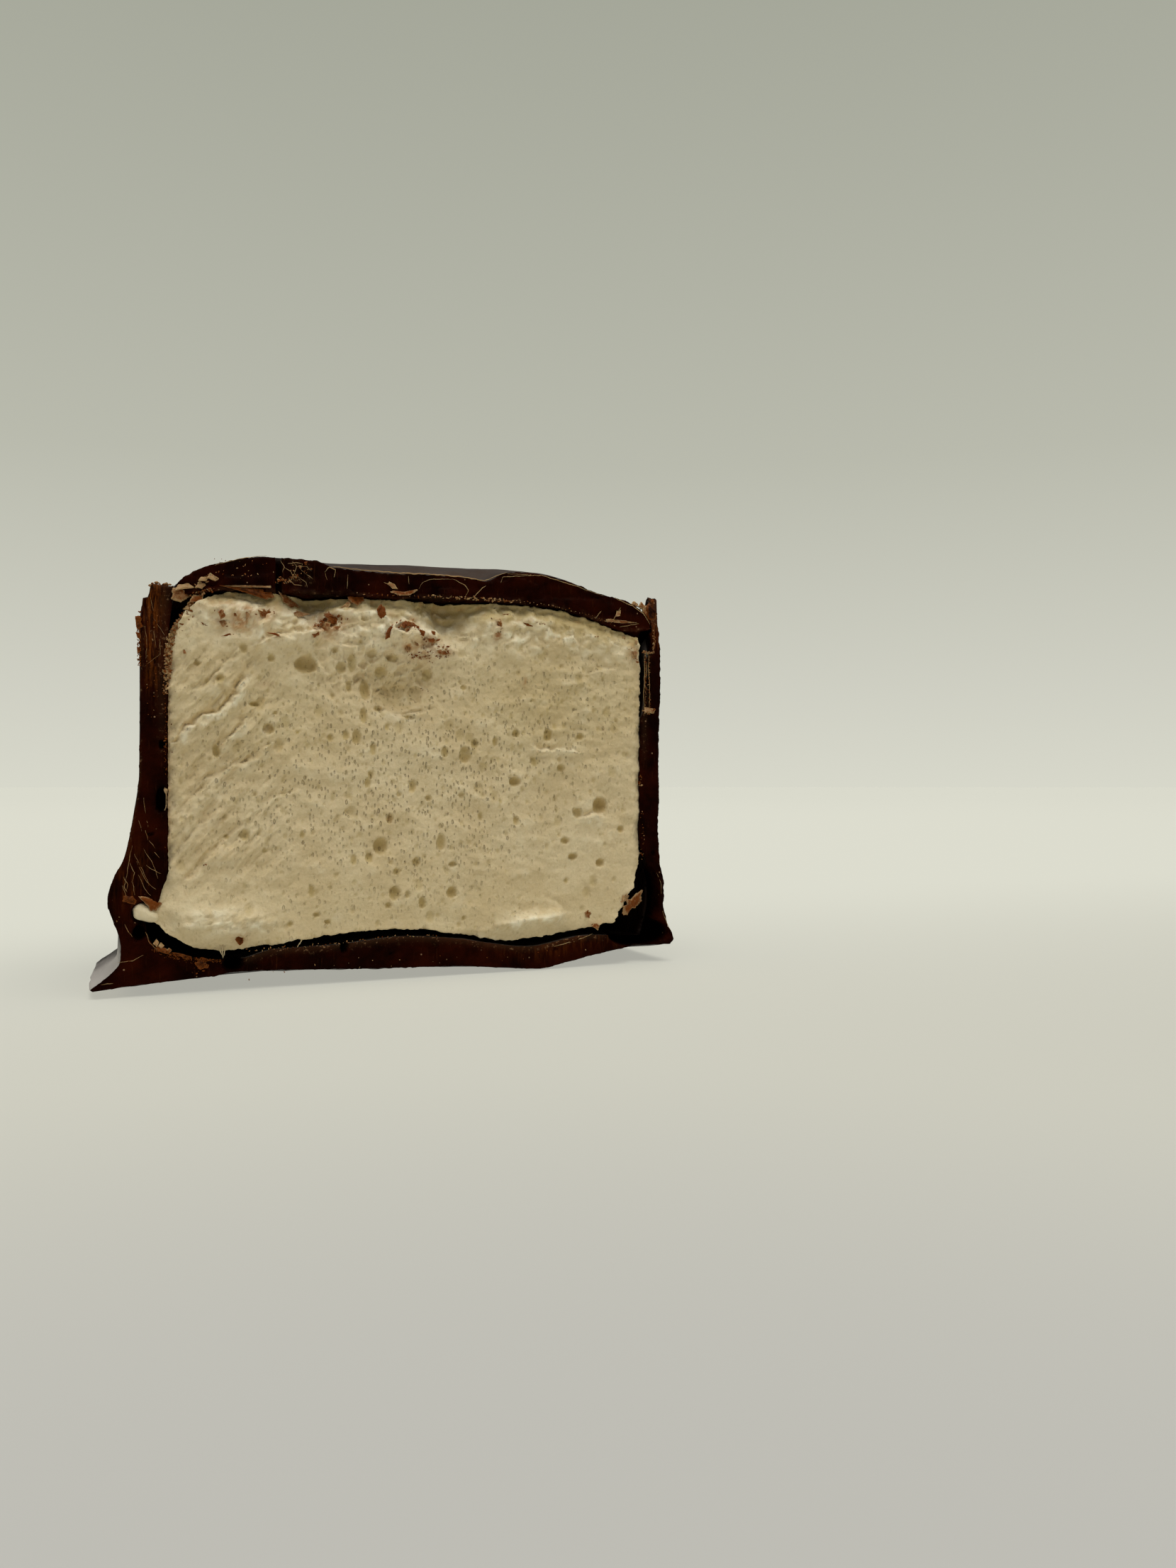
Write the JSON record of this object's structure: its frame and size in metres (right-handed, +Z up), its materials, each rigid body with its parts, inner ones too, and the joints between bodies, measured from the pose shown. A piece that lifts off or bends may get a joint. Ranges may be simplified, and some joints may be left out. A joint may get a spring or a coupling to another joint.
{
  "type": "chocolate-coated marshmallow half",
  "caption": "Square marshmallow in a cracked dark chocolate coat, cut in half: pale bubbly foam shows behind the cut, with a domed lid, thin walls and a flared foot.",
  "frame": {"origin": "middle of the bounding rectangle of the footprint, on the surface that the half stands on", "axes": "+Z up, -Y out of the cut face, +X to the right for someone looking at the cut face"},
  "size_m": [0.0462, 0.0228, 0.0331],
  "materials": {
    "marshmallow_foam": "matt, fine open bubbles",
    "dark_chocolate": "satin outside, rough and crumbly where cut or broken"
  },
  "bodies": {
    "root": {"marshmallow": "marshmallow_foam", "chocolate_case": "dark_chocolate", "chocolate_lid": "dark_chocolate", "chocolate_lid_corner": "dark_chocolate"}
  },
  "joints": []
}
